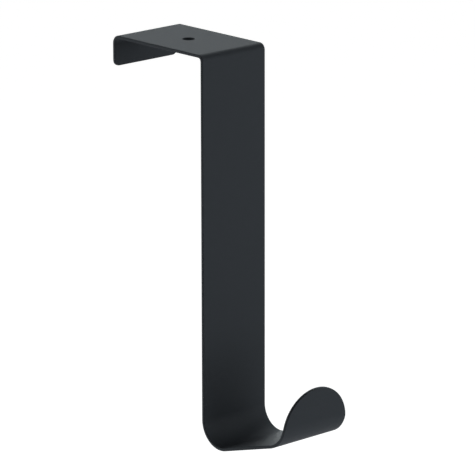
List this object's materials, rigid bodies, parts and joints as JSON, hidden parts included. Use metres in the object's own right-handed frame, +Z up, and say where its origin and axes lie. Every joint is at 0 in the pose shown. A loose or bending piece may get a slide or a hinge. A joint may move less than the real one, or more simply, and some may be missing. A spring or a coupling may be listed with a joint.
{
  "type": "over door hook",
  "caption": "Folded steel over door hook: a plate with a screw hole sits on the door's top edge, a short lip grips behind, and the front strap ends in an upturned round-tipped hook.",
  "frame": {"origin": "middle of the plate's underside, where the screw hole's axis meets the door's top edge", "axes": "+Z up along the screw hole, +Y through the door from the strap to the lip, X along the door"},
  "size_m": [0.03, 0.0913, 0.1434],
  "materials": {
    "powder_coat": "matte charcoal black powder coat"
  },
  "bodies": {
    "root": {"door_hook": "powder_coat"}
  },
  "joints": []
}
